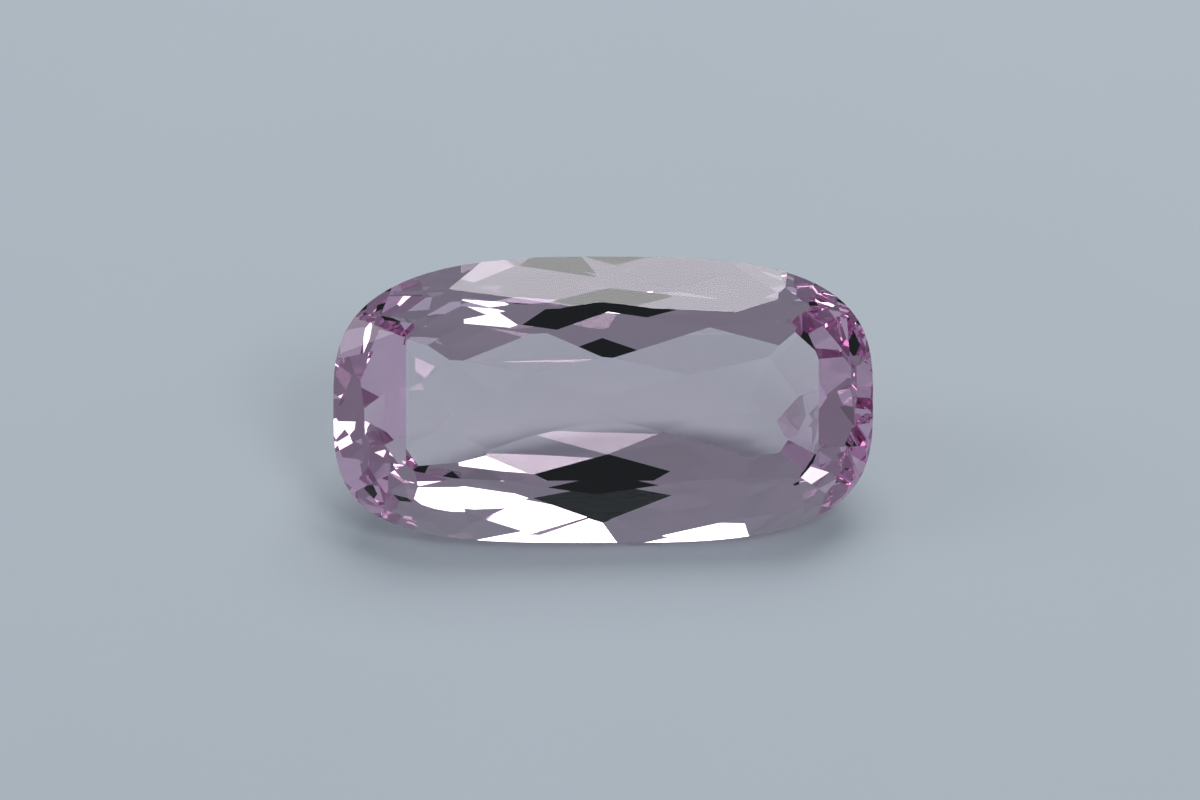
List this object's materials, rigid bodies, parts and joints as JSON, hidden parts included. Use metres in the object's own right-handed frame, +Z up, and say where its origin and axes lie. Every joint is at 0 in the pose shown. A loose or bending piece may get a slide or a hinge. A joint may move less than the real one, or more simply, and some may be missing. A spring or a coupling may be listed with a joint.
{
  "type": "gemstone",
  "caption": "Loose clear pale lilac kunzite cut as a long cushion, with a large flat table and an irregular faceted underside that it lies on.",
  "frame": {"origin": "middle of the bounding box, at the height of the surface that the stone lies on", "axes": "+X along the stone's length, +Y away from the side that its table faces, +Z up"},
  "size_m": [0.022, 0.0088, 0.0084],
  "materials": {
    "kunzite": "polished"
  },
  "bodies": {
    "root": {"kunzite_stone": "kunzite"}
  },
  "joints": []
}
